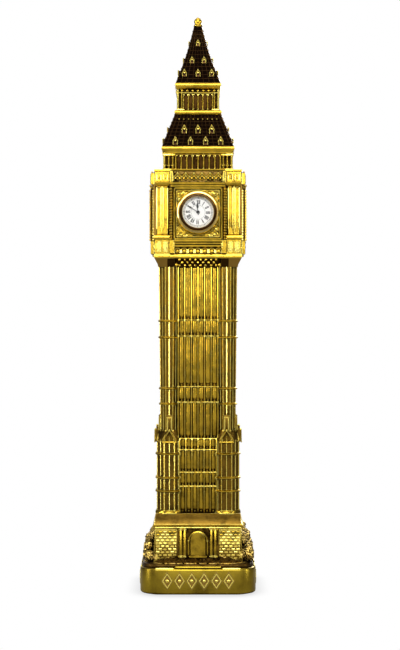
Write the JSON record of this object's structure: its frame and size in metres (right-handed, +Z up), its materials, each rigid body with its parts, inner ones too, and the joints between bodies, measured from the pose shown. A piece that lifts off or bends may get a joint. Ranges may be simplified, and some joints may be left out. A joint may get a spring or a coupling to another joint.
{
  "type": "miniature clock tower",
  "caption": "Gilt souvenir model of a square Gothic clock tower with a steep two-stage spire and a small pull-out quartz clock in its front dial.",
  "frame": {"origin": "centre of the felt pad's underside, on the surface that the model stands on", "axes": "+Z up through the spire, -Y out of the face with the clock, +X to the right seen from the front"},
  "size_m": [0.0762, 0.0762, 0.38],
  "materials": {
    "antique_gold": "cast and gilt, dark brown patina in the recesses, rubbed bright on the ridges",
    "satin_gold": "cast and gilt, smooth satin, lightly toned",
    "dark_bronze": "cast, dark brown-black patina, semi-gloss, gilt on the raised dormers",
    "polished_gold": "turned and polished plate",
    "spring_brass": "plain brass",
    "plain_steel": "zinc-plated or plain",
    "white_dial": "off-white printed card, black numerals",
    "black_hands": "gloss black",
    "clear_lens": "clear, flat",
    "black_rubber": "matt black",
    "white_plastic": "natural white moulding",
    "green_board": "green circuit board",
    "copper_wire": "enamelled copper winding",
    "felt": "dark green felt"
  },
  "bodies": {
    "tower": {"base_felt": "felt", "base_plate": "plain_steel", "base_screws": "plain_steel", "plinth": "satin_gold", "podium": "antique_gold", "shrubs": "antique_gold", "lower_shaft": "antique_gold", "upper_shaft": "antique_gold", "clock_stage": "antique_gold", "belfry": "antique_gold", "lower_roof": "dark_bronze", "lantern": "antique_gold", "spire": "dark_bronze", "finial": "antique_gold", "tie_rod": "plain_steel", "rod_washer": "plain_steel", "rod_nut": "plain_steel"},
    "clock_insert": {"insert_case": "polished_gold", "insert_back": "plain_steel", "insert_bezel": "polished_gold", "insert_lens": "clear_lens", "insert_dial": "white_dial", "grip_ring": "black_rubber", "spacer_ring": "white_plastic", "movement_plate": "plain_steel", "movement_bridge": "green_board", "bridge_screws": "plain_steel", "drive_coil": "copper_wire", "quartz_can": "plain_steel", "battery": "plain_steel", "battery_strap": "spring_brass"},
    "minute_train": {"cannon_pinion": "spring_brass", "minute_hand": "black_hands"},
    "hour_train": {"hour_wheel": "spring_brass", "hour_hand": "black_hands"},
    "motion_wheel": {"minute_wheel": "spring_brass"},
    "setting_slide": {"setting_lever": "plain_steel"},
    "crown": {"setting_stem": "plain_steel", "setting_crown": "polished_gold"}
  },
  "joints": [
    {"name": "insert_pull", "type": "slide", "parent": "tower", "child": "clock_insert", "axis": [0, -1, 0], "range_m": [0, 0.014]},
    {"name": "minute_hand_turn", "type": "hinge", "parent": "clock_insert", "child": "minute_train", "pos_m": [0, -0.032, 0.2469], "axis": [0, 1, 0], "continuous": true},
    {"name": "hour_hand_turn", "type": "hinge", "parent": "clock_insert", "child": "hour_train", "pos_m": [0, -0.032, 0.2469], "axis": [0, 1, 0], "continuous": true},
    {"name": "motion_wheel_turn", "type": "hinge", "parent": "clock_insert", "child": "motion_wheel", "pos_m": [-0.00172, -0.032, 0.24936], "axis": [0, 1, 0], "continuous": true},
    {"name": "crown_pull", "type": "slide", "parent": "clock_insert", "child": "setting_slide", "axis": [1, 0, 0], "range_m": [0, 0.0006]},
    {"name": "crown_turn", "type": "hinge", "parent": "setting_slide", "child": "crown", "pos_m": [0.01, -0.0285, 0.2469], "axis": [1, 0, 0], "continuous": true}
  ],
  "couplings": [
    {"joint": "hour_hand_turn", "follows": "minute_hand_turn", "ratio": 0.083333},
    {"joint": "motion_wheel_turn", "follows": "minute_hand_turn", "ratio": -0.33333}
  ]
}
